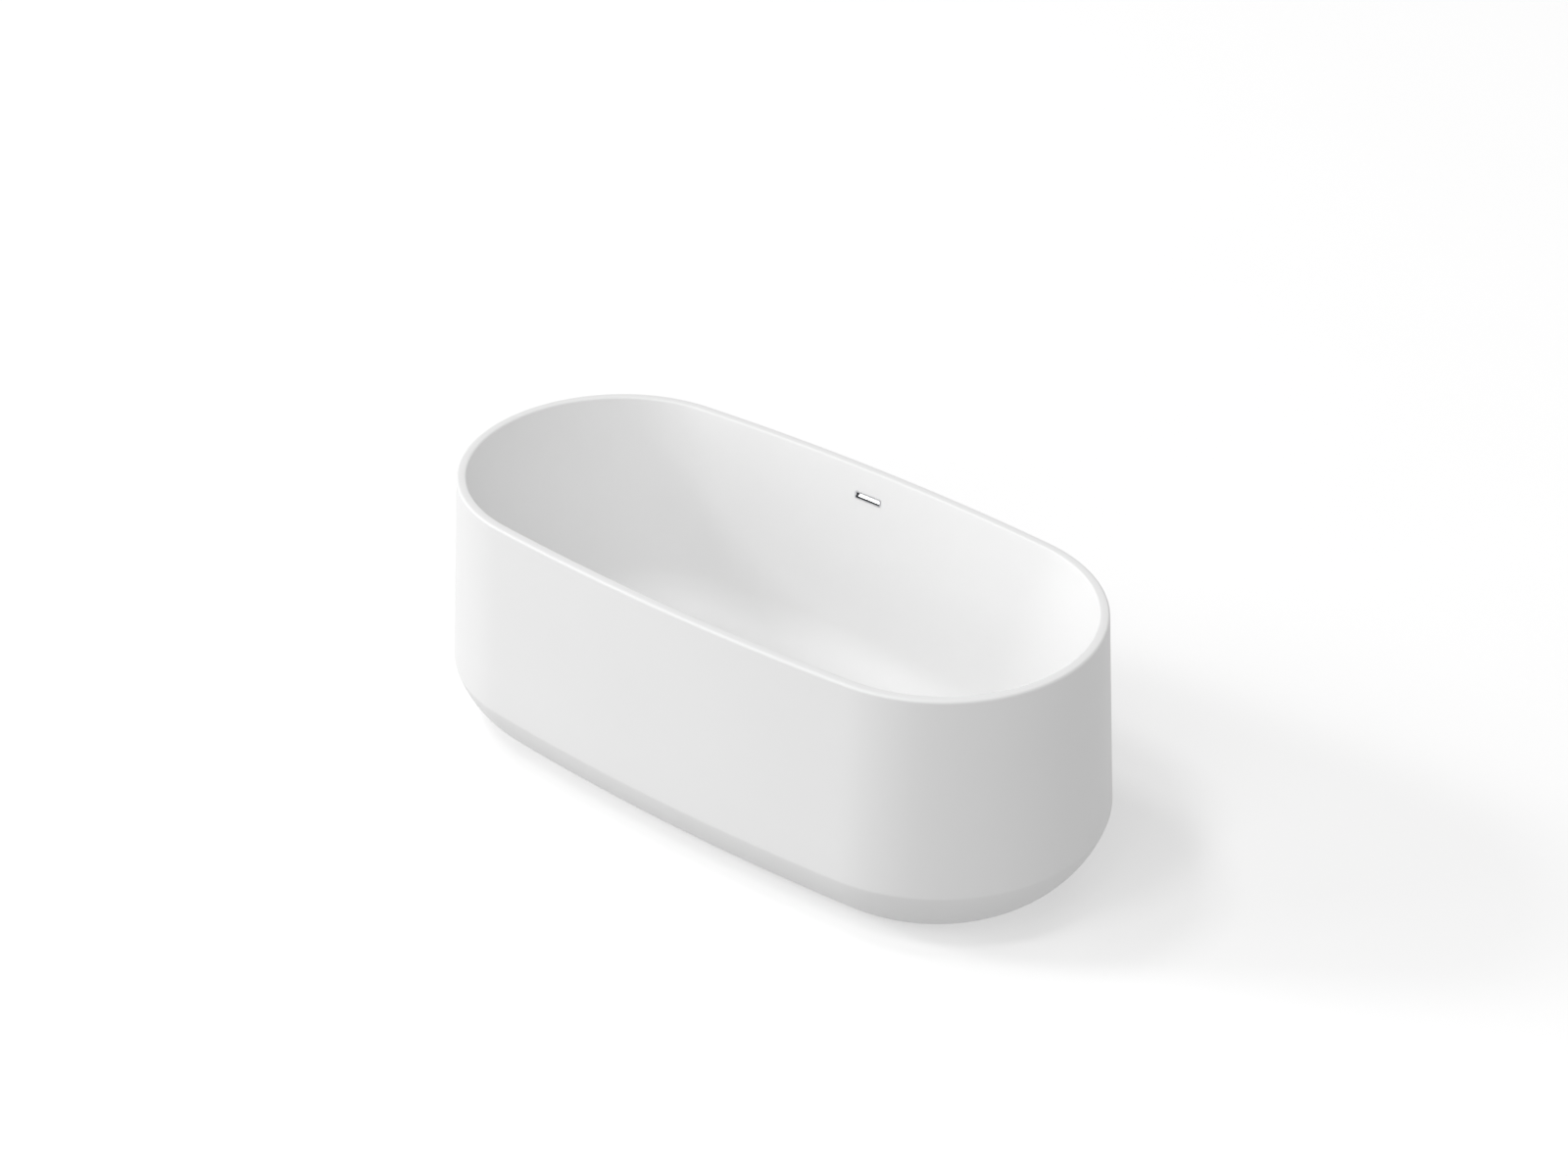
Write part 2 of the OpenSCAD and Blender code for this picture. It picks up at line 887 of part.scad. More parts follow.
module drain_shoe() {
    color(grey_plastic)
        difference() {
            union() {
                translate([0, 0, shoe_top - 5])
                    cylinder(r = shoe_flange_r, h = 5);
                translate([0, 0, shoe_end])
                    cylinder(r = shoe_r, h = shoe_top - 5 - shoe_end);
                translate([0, 0, outlet_end])
                    cylinder(r = outlet_r, h = shoe_end - outlet_end);
                translate([0, 70, inlet_z])
                    rotate([90, 0, 0])
                        cylinder(r = spigot_r, h = 60);
            }
            translate([0, 0, 96])
                cylinder(r = flange_tube_r + screw_gap, h = 40);
            translate([0, 0, 58])
                cylinder(r = 22, h = 40);
            translate([0, 0, outlet_end - eps])
                cylinder(r = tail_r, h = 22);
            translate([0, 71, inlet_z])
                rotate([90, 0, 0])
                    cylinder(r = spigot_r - 2.5, h = 71);
        }
}

module slip_nut() {
    lugs = 8;
    color(grey_plastic)
        difference() {
            union() {
                translate([0, 0, nut_end])
                    cylinder(r = outlet_r + 4, h = 16);
                for (i = [0 : lugs - 1])
                    rotate([0, 0, 360 * i / lugs])
                        translate([outlet_r + 2, -3, nut_end])
                            cube([4.5, 6, 16]);
            }
            translate([0, 0, flange_z])
                cylinder(r = outlet_r + running_gap, h = 20);
            translate([0, 0, nut_end - eps])
                cylinder(r = tail_r + 0.5, h = 10);
        }
}

module slip_washer() {
    color(black_rubber) ring(tail_r, outlet_r - 0.5, outlet_end - washer_t, washer_t);
}

// A flanged tube: the slip nut traps its flange, and a relief below the flange leaves the
// free end as a plain 38.1 mm pipe
module tailpiece() {
    bore_r = tail_r - 1.2;
    relief_r = tail_r - 0.25;
    color(brass)
        rotate_extrude()
            polygon([
                [bore_r, tail_end], [tail_r, tail_end], [tail_r, nut_end - 1],
                [relief_r, nut_end - 0.8], [relief_r, flange_z], [outlet_r - 0.8, flange_z],
                [outlet_r - 0.8, flange_z + 1.5], [bore_r, flange_z + 1.5]
            ]);
}

basin();
skirt();
base_board_left();
base_board_right();
long_rail_front();
long_rail_back();
cross_rail_left();
cross_rail_right();
rail_screws();
frame_bolts();
frame_nuts();
foot_weld_nuts();
foot_lock_nuts();
pad_front_left();
pad_front_right();
pad_back_left();
pad_back_right();
stud_front_left();
stud_front_right();
stud_back_left();
stud_back_right();
bracket_front_left();
bracket_front_right();
bracket_back_left();
bracket_back_right();
bond_blocks();
bracket_screws();
overflow_trim();
overflow_gasket();
overflow_body();
overflow_hose();
hose_clamps();
drain_flange();
toe_tap_cartridge();
drain_plug();
plug_seal();
plug_stem();
drain_gasket();
drain_shoe();
slip_nut();
slip_washer();
tailpiece();
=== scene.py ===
"""The looks of a freestanding oval bathtub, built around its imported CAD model.

The basin, the skirt and a few pieces with fine relief are rebuilt as smooth meshes from the
same dimensions as the CAD; every other node keeps its CAD shape. Lengths are in metres.
"""

import json
from math import asin, atan, atan2, cos, hypot, pi, radians, sin, sqrt, tan

import bmesh
import bpy
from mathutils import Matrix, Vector


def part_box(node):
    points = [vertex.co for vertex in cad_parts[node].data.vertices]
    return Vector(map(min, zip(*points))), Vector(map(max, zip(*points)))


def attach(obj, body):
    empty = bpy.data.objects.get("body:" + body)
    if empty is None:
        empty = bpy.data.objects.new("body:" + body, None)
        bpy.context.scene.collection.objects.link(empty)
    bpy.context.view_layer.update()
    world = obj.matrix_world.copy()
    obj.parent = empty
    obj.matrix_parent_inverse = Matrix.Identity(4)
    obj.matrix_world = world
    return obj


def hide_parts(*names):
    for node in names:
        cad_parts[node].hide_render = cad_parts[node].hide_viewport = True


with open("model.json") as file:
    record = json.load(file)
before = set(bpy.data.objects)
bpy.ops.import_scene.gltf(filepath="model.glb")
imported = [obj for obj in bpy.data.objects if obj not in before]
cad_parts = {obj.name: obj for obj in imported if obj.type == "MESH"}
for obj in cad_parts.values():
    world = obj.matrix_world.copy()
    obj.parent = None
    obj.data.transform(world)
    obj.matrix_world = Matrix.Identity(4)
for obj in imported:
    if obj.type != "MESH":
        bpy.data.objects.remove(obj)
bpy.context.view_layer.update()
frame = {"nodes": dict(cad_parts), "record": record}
nodes = frame["nodes"]
scene = bpy.context.scene

# ---------- Driving dimensions, taken from the frame where it holds them ----------

BASIN_LOW, BASIN_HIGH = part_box("basin")
SKIRT_LOW, SKIRT_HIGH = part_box("skirt")
# Both shells' thickness, and how much the oval's half width exceeds its end arcs' radius
SHELL = 0.006
SIDE_BULGE = 0.019
# The flat rim's width, and the radii of its two edges
RIM_BAND = 0.0226
RIM_OUTER_R = 0.006
RIM_INNER_R = 0.005
# Heights: the rim, the seam of the two shells, the basin's floor, the skirt's foot and the
# line where its flared wall breaks into the undercut
RIM_Z = BASIN_HIGH.z
SEAM_Z = SKIRT_HIGH.z
FLOOR_Z = BASIN_LOW.z + SHELL
FOOT_Z = SKIRT_LOW.z
BREAK_Z = 0.136
# How far the skirt grows from the rim to the break line, how far the foot is inside that
# line, half the angle of the undercut's arc, and the reach of the soft curve at the line
FLARE = 0.031
FOOT_INSET = 0.090
UNDERCUT_TURN = radians(19.6)
CREASE_R = 0.004
# Half length and half width of the oval at the rim's height
RIM_A = SKIRT_HIGH.x - FLARE
RIM_B = SKIRT_HIGH.y - FLARE
# The inner walls: how far they lean in on the way down, and their radius to the floor
SIDE_LEAN, SIDE_FILLET = 0.070, 0.090
END_LEAN, END_FILLET = 0.170, 0.130
WALL_TOP = RIM_Z - RIM_INNER_R
WASTE_HOLE_R = 0.0245
# The bonding lip under the rim: its outer face's growth, its thickness and its height
LIP_OUT, LIP_T, LIP_H = -SHELL - 0.0003, 0.004, 0.022
# The overflow hole in the back wall: the height of its middle, and its width and height
OVERFLOW_Z = RIM_Z - 0.065
OVERFLOW_HOLE = (0.0682, 0.016)

# Mesh fineness: steps around a quarter of the plan and along the curved parts of a profile
END_STEPS = 44
SIDE_STEPS = 14
FILLET_STEPS = 22
ROUND_STEPS = 6
UNDERCUT_STEPS = 18


# ---------- Meshes ----------

def new_piece(name, verts, faces, smooth_angle=35):
    """A mesh object with normals out, smooth except at edges sharper than smooth_angle."""
    mesh = bpy.data.meshes.new(name)
    mesh.from_pydata([tuple(v) for v in verts], [], faces)
    bm = bmesh.new()
    bm.from_mesh(mesh)
    bmesh.ops.recalc_face_normals(bm, faces=bm.faces)
    bm.to_mesh(mesh)
    bm.free()
    mesh.update()
    mesh.shade_smooth()
    mesh.set_sharp_from_angle(angle=radians(smooth_angle))
    piece = bpy.data.objects.new(name, mesh)
    scene.collection.objects.link(piece)
    return piece


def finish_piece(piece, body, slot_name, replaced):
    """The piece takes its slot's material, rides on the body and stands for a CAD node."""
    piece.data.materials.append(MATERIALS[slot_name])
    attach(piece, body)
    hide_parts(replaced)


def quarter(a, b):
    """A quarter of the oval from (a, 0) to (0, b): an end arc and a long side arc, tangent.
    The last step but one stands at the overflow hole's edge."""
    r = b - SIDE_BULGE
    big = ((a - r) ** 2 + b * b - r * r) / (2 * (b - r))
    join = atan2(big - b, a - r)
    points = [
        (a - r + r * cos(join * i / END_STEPS), r * sin(join * i / END_STEPS))
        for i in range(END_STEPS)
    ]
    x_join = big * cos(join)
    hole = OVERFLOW_HOLE[0] / 2
    xs = [x_join + (hole - x_join) * i / SIDE_STEPS for i in range(SIDE_STEPS + 1)] + [0.0]
    return points + [(x, sqrt(big * big - x * x) + b - big) for x in xs]


def whole(q):
    """The closed outline made of a quarter and its mirror images, counter-clockwise."""
    n = len(q) - 1
    return (
        [(q[i][0], q[i][1]) for i in range(n)]
        + [(-q[n - i][0], q[n - i][1]) for i in range(n)]
        + [(-q[i][0], -q[i][1]) for i in range(n)]
        + [(q[n - i][0], -q[n - i][1]) for i in range(n)]
    )


def oval(a, b, z):
    return [(x, y, z) for x, y in whole(quarter(a, b))]


def rim_oval(growth, z):
    return oval(RIM_A + growth, RIM_B + growth, z)


def loft(rings, looped=False):
    """Vertices and quads of a skin through rings of equal length."""
    n = len(rings[0])
    verts = [p for ring in rings for p in ring]
    pairs = list(zip(range(len(rings) - 1), range(1, len(rings))))
    if looped:
        pairs.append((len(rings) - 1, 0))
    faces = [
        (k * n + i, k * n + (i + 1) % n, m * n + (i + 1) % n, m * n + i)
        for k, m in pairs
        for i in range(n)
    ]
    return verts, faces


def revolve(profile, centre=(0.0, 0.0), segments=72):
    """Vertices and faces of a profile of (radius, height) points turned about a vertical axis.
    A profile that ends on the axis is closed there, and any other is joined end to end."""
    verts, rows = [], []
    for r, z in profile:
        count = segments if r > 1e-6 else 1
        rows.append(range(len(verts), len(verts) + count))
        angles = [2 * pi * i / segments for i in range(count)]
        verts += [(centre[0] + r * cos(t), centre[1] + r * sin(t), z) for t in angles]
    if len(rows[0]) > 1:
        rows.append(rows[0])
    faces = []
    for low, high in zip(rows, rows[1:]):
        for i in range(segments):
            j = (i + 1) % segments
            corners = [low[i % len(low)], low[j % len(low)]]
            corners += [high[j % len(high)], high[i % len(high)]]
            faces.append(tuple(dict.fromkeys(corners)))
    return verts, faces


def corner_curve(before, at, after, reach, steps):
    """A short curve in place of the corner at, with that reach along both of its sides."""
    start = at + (before - at).normalized() * reach
    end = at + (after - at).normalized() * reach
    shares = [i / steps for i in range(steps + 1)]
    return [tuple(start * (1 - t) ** 2 + at * 2 * t * (1 - t) + end * t * t) for t in shares]


def eased(profile, size):
    """The profile with every inner corner replaced by a short curve."""
    most = 0.45      # of a side's length, so that two curves on one side stay apart
    points = [profile[0]]
    for corner in zip(profile, profile[1:], profile[2:]):
        before, at, after = (Vector(p) for p in corner)
        reach = min(size, (before - at).length * most, (after - at).length * most)
        points += corner_curve(before, at, after, reach, steps=3)
    return points + [profile[-1]]


def soften(points, corner, size):
    """The profile with the corner point replaced by a short curve that reaches size along
    both of its sides."""
    before, at, after = (Vector(p) for p in points[corner - 1:corner + 2])
    return points[:corner] + corner_curve(before, at, after, size, steps=4) + points[corner + 1:]


def wall_inset(z, lean, r, depth):
    """How far the wall is inside the rim's inner edge at height z, depth behind its face."""
    height = WALL_TOP - FLOOR_Z
    angle = atan(lean / height)
    centre = lean + r * tan((pi / 2 - angle) / 2)
    if z > FLOOR_Z + r - (r + depth) * sin(angle):
        return lean * (WALL_TOP - z) / height - depth / cos(angle)
    return centre - sqrt(max(0.0, (r + depth) ** 2 - (FLOOR_Z + r - z) ** 2))


def basin_oval(z, depth):
    a = RIM_A - RIM_BAND - wall_inset(z, END_LEAN, END_FILLET, depth)
    b = RIM_B - RIM_BAND - wall_inset(z, SIDE_LEAN, SIDE_FILLET, depth)
    return oval(a, b, z)


def wall_heights(depth):
    """Heights of the rings from the floor to the wall's top, dense in the fillet and with a
    ring at each edge of the overflow hole."""
    turn = radians(80)      # how far round an end's fillet the dense rings reach
    steps = 8
    above = 0.02            # the last ring's height over the hole
    fillet = [
        FLOOR_Z - depth + (END_FILLET + depth) * (1 - cos(turn * i / FILLET_STEPS))
        for i in range(FILLET_STEPS + 1)
    ]
    half = OVERFLOW_HOLE[1] / 2
    top = OVERFLOW_Z - half
    wall = [fillet[-1] + (top - fillet[-1]) * i / steps for i in range(1, steps + 1)]
    return fillet + wall + [OVERFLOW_Z + half, OVERFLOW_Z + half + above]


def floor_rings(depth):
    """Rings from the waste hole's circle out to the floor's edge."""
    z = FLOOR_Z - depth
    edge = basin_oval(z, depth)
    shares = [0, 0.01, 0.08, 0.25, 0.5, 0.75, 0.92]
    rings = []
    for share in shares:
        ring = []
        for x, y, _ in edge:
            length = hypot(x, y)
            hole = (x / length * WASTE_HOLE_R, y / length * WASTE_HOLE_R)
            ring.append((hole[0] + (x - hole[0]) * share, hole[1] + (y - hole[1]) * share, z))
        rings.append(ring)
    return rings


def skirt_growth(z):
    return FLARE * (RIM_Z - z) / (RIM_Z - BREAK_Z)


def arc(start, turn, steps):
    """Angles from start through turn, both ends included."""
    return [start + turn * i / steps for i in range(steps + 1)]


def make_basin():
    """The inner shell: floor, walls, flat rim with rounded edges, and the bonding lip."""
    lean = atan(SIDE_LEAN / (WALL_TOP - FLOOR_Z))
    inner = floor_rings(0) + [basin_oval(z, 0) for z in wall_heights(0)]
    inner_edge = [
        rim_oval(-RIM_BAND + RIM_INNER_R * (1 - cos(t)), WALL_TOP + RIM_INNER_R * sin(t))
        for t in arc(lean / 2, pi / 2 - lean / 2, ROUND_STEPS)
    ]
    seam_growth = skirt_growth(SEAM_Z)
    outer_edge = [
        rim_oval(seam_growth - RIM_OUTER_R * (1 - cos(t)), SEAM_Z + RIM_OUTER_R * sin(t))
        for t in arc(pi / 2, -pi / 2, ROUND_STEPS)
    ]
    lip = [
        rim_oval(LIP_OUT, SEAM_Z),
        rim_oval(LIP_OUT, SEAM_Z - LIP_H),
        rim_oval(LIP_OUT - LIP_T, SEAM_Z - LIP_H),
        rim_oval(LIP_OUT - LIP_T, SEAM_Z),
    ]
    outer_heights = wall_heights(SHELL) + [SEAM_Z]
    outer = [basin_oval(z, SHELL) for z in reversed(outer_heights)]
    outer += list(reversed(floor_rings(SHELL)))
    rings = inner + inner_edge + outer_edge + lip + outer
    verts, faces = loft(rings, looped=True)
    n = len(rings[0])
    # The overflow hole: the two cells at the middle of the back are left out of each face.
    # Going up the inner face its lower edge is the third ring from the end, and coming down
    # the outer face its upper edge is the third ring.
    first = n // 4 - 1
    inner_row = len(inner) - 3
    outer_row = len(inner + inner_edge + outer_edge + lip) + 2
    holes = {row * n + column for row in (inner_row, outer_row) for column in (first, first + 1)}
    faces = [f for i, f in enumerate(faces) if i not in holes]
    columns = [first, first + 1, first + 2]

    def hole_edge(low_row, high_row):
        low = [low_row * n + column for column in columns]
        return low + [high_row * n + column for column in reversed(columns)]

    inside = hole_edge(inner_row, inner_row + 1)
    outside = hole_edge(outer_row + 1, outer_row)
    for i in range(len(inside)):
        j = (i + 1) % len(inside)
        faces.append((inside[i], inside[j], outside[j], outside[i]))
    return new_piece("basin_shell", verts, faces)


def undercut(depth):
    """Points (growth, z) down the undercut's arc, depth inside its face."""
    drop = BREAK_Z - FOOT_Z
    r = hypot(FOOT_INSET, drop) / 2 / sin(UNDERCUT_TURN)
    first = atan2(drop, FOOT_INSET) + UNDERCUT_TURN
    centre = (FLARE - r * sin(first), BREAK_Z + r * cos(first))
    return [
        (centre[0] + (r - depth) * sin(t), centre[1] - (r - depth) * cos(t))
        for t in arc(first, -2 * UNDERCUT_TURN, UNDERCUT_STEPS)
    ]


def make_skirt():
    """The outer shell: flared wall, break line, curved undercut and a turned-in foot."""
    turned_in, foot_edge, clear = 0.024, 0.0015, 0.001
    wall_steps = 6
    outer = undercut(0)
    inner = [p for p in undercut(SHELL) if p[1] > FOOT_Z + SHELL + clear]
    top = skirt_growth(SEAM_Z)
    foot = outer[-1]
    drop = SEAM_Z - BREAK_Z
    wall = [
        (skirt_growth(SEAM_Z - drop * i / wall_steps), SEAM_Z - drop * i / wall_steps)
        for i in range(wall_steps)
    ]
    profile = wall + outer
    profile += [(foot[0] - turned_in, FOOT_Z), (foot[0] - turned_in, FOOT_Z + SHELL)]
    profile += list(reversed(inner)) + [(top - SHELL, SEAM_Z)]
    foot_corner = wall_steps + len(outer) - 1
    profile = soften(profile, foot_corner, foot_edge)
    profile = soften(profile, wall_steps, CREASE_R)
    verts, faces = loft([rim_oval(g, z) for g, z in profile], looped=True)
    return new_piece("skirt_shell", verts, faces)


def make_plug():
    """The plug's crowned cap with a rounded rim, and the boss under it."""
    low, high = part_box("drain_plug")
    cap_r, boss_r, edge, crown = high.x, 0.014, 0.0015, 0.0045
    boss_edge, rim_in, rim_low, rim_high = 0.0006, 0.0008, 0.0005, 0.0009
    cap_z = high.z - crown
    crown_r = ((cap_r - edge) ** 2 + (crown - edge) ** 2) / (2 * (crown - edge))
    half = asin((cap_r - edge) / crown_r)
    steps = 12
    angles = [half * i / steps for i in range(steps, -1, -1)]
    top = [(crown_r * sin(t), high.z - crown_r * (1 - cos(t))) for t in angles]
    rim = [(cap_r - rim_in, cap_z), (cap_r, cap_z + rim_low), (cap_r, cap_z + rim_high)]
    under = eased([(0.0, low.z), (boss_r, low.z), (boss_r, cap_z)], boss_edge)
    return new_piece("plug_cap", *revolve(under + rim + top, segments=128))


def make_stud(corner):
    """A levelling stud: a helical thread above a chamfered hexagon and a plain foot."""
    low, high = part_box("stud_" + corner)
    x, y = (low.x + high.x) / 2, (low.y + high.y) / 2
    stud_r, root_r, pitch, segments = 0.0060, 0.0052, 0.00175, 28
    hex_low, hex_high, flats = 0.012, 0.020, 0.0095
    tip, core_gap = 0.0012, 0.0004
    thread_low = hex_high + tip
    foot_r, chamfer, corner_cut = 0.0080, 0.0006, 0.0010
    step = pitch / 6

    def crest(angle, z):
        share = ((z - pitch * angle / (2 * pi)) / pitch) % 1.0
        # 0 on the crest, which is a little flat, and 1 at the root
        depth = max(0.0, abs(share - 0.5) * 2.4 - 0.2)
        room = min(1.0, max(0.0, (high.z - z) / tip))
        r = stud_r - (stud_r - root_r) * depth
        return min(r, root_r - core_gap + (stud_r - root_r + core_gap) * room)

    def hexagon(angle, cut):
        sector = (angle + pi / 6) % (pi / 3) - pi / 6
        return min(flats / cos(sector), cut)

    def ring(z, radius_at):
        angles = [2 * pi * i / segments for i in range(segments)]
        return [(x + radius_at(t) * cos(t), y + radius_at(t) * sin(t), z) for t in angles]

    plain = [ring(low.z, lambda t: foot_r - chamfer), ring(low.z + chamfer, lambda t: foot_r)]
    plain += [ring(hex_low, lambda t: foot_r)]
    corner_r = flats / cos(pi / 6)
    nut = [
        ring(hex_low, lambda t: hexagon(t, corner_r - corner_cut)),
        ring(hex_low + chamfer, lambda t: hexagon(t, corner_r)),
        ring(hex_high - chamfer, lambda t: hexagon(t, corner_r)),
        ring(hex_high, lambda t: hexagon(t, corner_r - corner_cut)),
        ring(hex_high, lambda t: root_r),
        ring(thread_low, lambda t: root_r),
    ]
    count = int((high.z - thread_low) / step)
    heights = [thread_low + step * i for i in range(1, count + 1)] + [high.z]
    thread = [ring(z, lambda t, z=z: crest(t, z)) for z in heights]
    rings = plain + nut + thread
    verts, faces = loft(rings)
    faces.append(tuple(reversed(range(segments))))
    faces.append(tuple(range(len(verts) - segments, len(verts))))
    return new_piece("threaded_stud_" + corner, verts, faces, smooth_angle=50)


def make_hose():
    """The overflow hose: corrugated between two plain cuffs, with a bore all the way."""
    low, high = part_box("overflow_hose")
    radius, bore, groove, bend, cuff, pitch = 0.016, 0.0131, 0.0013, 0.090, 0.034, 0.0042
    back = high.y - radius
    turn_z, turn_y = low.z + radius + bend, back - bend
    down, along = high.z - turn_z, turn_y - low.y
    curve = bend * pi / 2
    length = down + curve + along

    def place(s):
        """Centre, and the direction across the hose in its own plane, at the distance s."""
        if s < down:
            return (back, high.z - s), (1.0, 0.0)
        if s < down + curve:
            t = (s - down) / bend
            return (turn_y + bend * cos(t), turn_z - bend * sin(t)), (cos(t), -sin(t))
        return (turn_y - (s - down - curve), turn_z - bend), (0.0, -1.0)

    def ring(s, r, segments=28):
        (cy, cz), (ny, nz) = place(s)
        angles = [2 * pi * i / segments for i in range(segments)]
        return [(r * sin(t), cy + ny * r * cos(t), cz + nz * r * cos(t)) for t in angles]

    edge_run, edge_drop = 0.0006, 0.0004
    outer = [(0.0, radius - edge_drop), (edge_run, radius), (cuff, radius)]
    ribs = int((length - 2 * cuff) / pitch)
    rib = (length - 2 * cuff) / ribs
    # One rib's groove: shares of the rib's length, and of the groove's depth there
    rib_shape = ((0.18, 0.75), (0.36, 1.0), (0.54, 0.75), (0.72, 0.0))
    for i in range(ribs):
        start = cuff + rib * i
        outer += [(start + rib * along_rib, radius - groove * deep) for along_rib, deep in rib_shape]
    outer += [(length - cuff, radius), (length - edge_run, radius), (length, radius - edge_drop)]
    bore_steps = 60
    inner = [(length * i / bore_steps, bore) for i in range(bore_steps, -1, -1)]
    verts, faces = loft([ring(s, r) for s, r in outer + inner], looped=True)
    return new_piece("corrugated_hose", verts, faces, smooth_angle=60)


# ---------- Materials ----------

class Material:
    """A node material: a Principled shader with helpers that add procedural detail."""

    def __init__(self, name, **constants):
        self.material = bpy.data.materials.new(name)
        self.material.use_nodes = True
        self.nodes = self.material.node_tree.nodes
        self.links = self.material.node_tree.links
        self.shader = self.nodes["Principled BSDF"]
        for socket, value in constants.items():
            self.shader.inputs[socket.replace("_", " ")].default_value = value

    def node(self, kind, **settings):
        made = self.nodes.new(kind)
        for key, value in settings.items():
            if key in made.inputs:
                made.inputs[key].default_value = value
            else:
                setattr(made, key, value)
        return made

    def link(self, out, into):
        self.links.new(out, into)

    def place(self, scale=(1, 1, 1)):
        """Object coordinates, stretched by scale."""
        where = self.node("ShaderNodeTexCoord")
        mapping = self.node("ShaderNodeMapping")
        mapping.inputs["Scale"].default_value = scale
        self.link(where.outputs["Object"], mapping.inputs["Vector"])
        return mapping.outputs["Vector"]

    def noise(self, scale, detail=3.0, rough=0.5, stretch=(1, 1, 1)):
        made = self.node("ShaderNodeTexNoise", Scale=scale, Detail=detail, Roughness=rough)
        self.link(self.place(stretch), made.inputs["Vector"])
        return made.outputs["Fac"]

    def ramp(self, value, stops):
        made = self.node("ShaderNodeValToRGB")
        elements = made.color_ramp.elements
        while len(elements) < len(stops):
            elements.new(0.5)
        for element, (position, colour) in zip(elements, stops):
            element.position = position
            element.color = (*colour, 1)
        self.link(value, made.inputs["Fac"])
        return made.outputs["Color"]

    def colour(self, value, dark, light):
        """The base colour, from dark to light over the middle of the value's range."""
        self.link(self.ramp(value, [(0.3, dark), (0.7, light)]), self.shader.inputs["Base Color"])

    def spread(self, value, socket, low, high):
        """Maps a 0 to 1 value onto low to high and feeds it to a shader socket."""
        made = self.node("ShaderNodeMapRange")
        made.inputs["To Min"].default_value = low
        made.inputs["To Max"].default_value = high
        self.link(value, made.inputs["Value"])
        self.link(made.outputs["Result"], self.shader.inputs[socket])

    def bump(self, height, strength, distance, chain=None):
        made = self.node("ShaderNodeBump", Strength=strength, Distance=distance)
        self.link(height, made.inputs["Height"])
        if chain is not None:
            self.link(chain.outputs["Normal"], made.inputs["Normal"])
        self.link(made.outputs["Normal"], self.shader.inputs["Normal"])
        return made


def acrylic_material():
    """Satin white sanitary acrylic: near-neutral white, faint clouding and orange peel."""
    m = Material("satin_acrylic", Specular_IOR_Level=0.45, IOR=1.49)
    m.colour(m.noise(3.0, detail=4.0), (0.914, 0.914, 0.913), (0.927, 0.927, 0.926))
    m.spread(m.noise(14.0, detail=5.0), "Roughness", 0.42, 0.52)
    peel = m.bump(m.noise(260.0, detail=2.0), 0.05, 0.0004)
    m.bump(m.noise(9.0, detail=1.0), 0.05, 0.002, chain=peel)
    return m.material


def chrome_material():
    m = Material("polished_chrome", Metallic=1.0)
    m.colour(m.noise(30.0), (0.80, 0.81, 0.83), (0.88, 0.885, 0.90))
    m.spread(m.noise(180.0, detail=6.0, rough=0.7), "Roughness", 0.07, 0.16)
    m.bump(m.noise(400.0), 0.02, 0.0002)
    return m.material


def zinc_material():
    m = Material("zinc_plated_steel", Metallic=1.0)
    m.colour(m.noise(90.0, detail=6.0), (0.52, 0.53, 0.55), (0.70, 0.70, 0.70))
    m.spread(m.noise(160.0, detail=6.0, rough=0.7), "Roughness", 0.26, 0.46)
    m.bump(m.noise(600.0, detail=4.0), 0.08, 0.0003)
    return m.material


def coated_steel_material():
    m = Material("powder_coated_steel", Specular_IOR_Level=0.5)
    m.colour(m.noise(25.0, detail=5.0), (0.030, 0.031, 0.033), (0.044, 0.045, 0.048))
    m.spread(m.noise(120.0, detail=4.0), "Roughness", 0.42, 0.60)
    m.bump(m.noise(750.0, detail=3.0), 0.25, 0.0004)
    return m.material


def brass_material():
    m = Material("machined_brass", Metallic=1.0)
    m.colour(m.noise(70.0, detail=5.0), (0.66, 0.47, 0.20), (0.80, 0.60, 0.29))
    m.spread(m.noise(30.0, stretch=(1, 1, 40)), "Roughness", 0.20, 0.34)
    m.bump(m.noise(40.0, stretch=(1, 1, 60)), 0.05, 0.0002)
    return m.material


def rubber_material():
    m = Material("black_rubber", Specular_IOR_Level=0.35)
    m.colour(m.noise(60.0, detail=5.0), (0.012, 0.012, 0.013), (0.026, 0.026, 0.027))
    m.spread(m.noise(200.0, detail=4.0), "Roughness", 0.62, 0.82)
    m.bump(m.noise(900.0, detail=3.0), 0.3, 0.0003)
    return m.material


def plastic_material(name, dark, light):
    m = Material(name, Specular_IOR_Level=0.5)
    m.colour(m.noise(20.0, detail=4.0), dark, light)
    m.spread(m.noise(90.0, detail=4.0), "Roughness", 0.36, 0.50)
    m.bump(m.noise(800.0, detail=2.0), 0.12, 0.0003)
    return m.material


def plywood_material():
    """Birch plywood: long grain on the faces and stacked veneers on the edges."""
    m = Material("plywood", Specular_IOR_Level=0.3)
    grain = m.noise(22.0, detail=8.0, rough=0.65, stretch=(0.25, 5.0, 60.0))
    shades = [(0.25, (0.30, 0.185, 0.095)), (0.5, (0.50, 0.345, 0.20)), (0.8, (0.62, 0.46, 0.29))]
    tint = m.ramp(grain, shades)
    wave = m.node("ShaderNodeTexWave", bands_direction="Z", Scale=88.0, Distortion=0.4, Detail=2.0)
    m.link(m.place(), wave.inputs["Vector"])
    plies = m.ramp(wave.outputs["Fac"], [(0.4, (0.55, 0.50, 0.45)), (0.6, (1.0, 1.0, 1.0))])
    mix = m.node("ShaderNodeMix", data_type="RGBA", blend_type="MULTIPLY")
    mix.inputs["Factor"].default_value = 0.55
    m.link(tint, mix.inputs["A"])
    m.link(plies, mix.inputs["B"])
    m.link(mix.outputs["Result"], m.shader.inputs["Base Color"])
    m.spread(grain, "Roughness", 0.55, 0.78)
    m.bump(grain, 0.25, 0.0006)
    return m.material


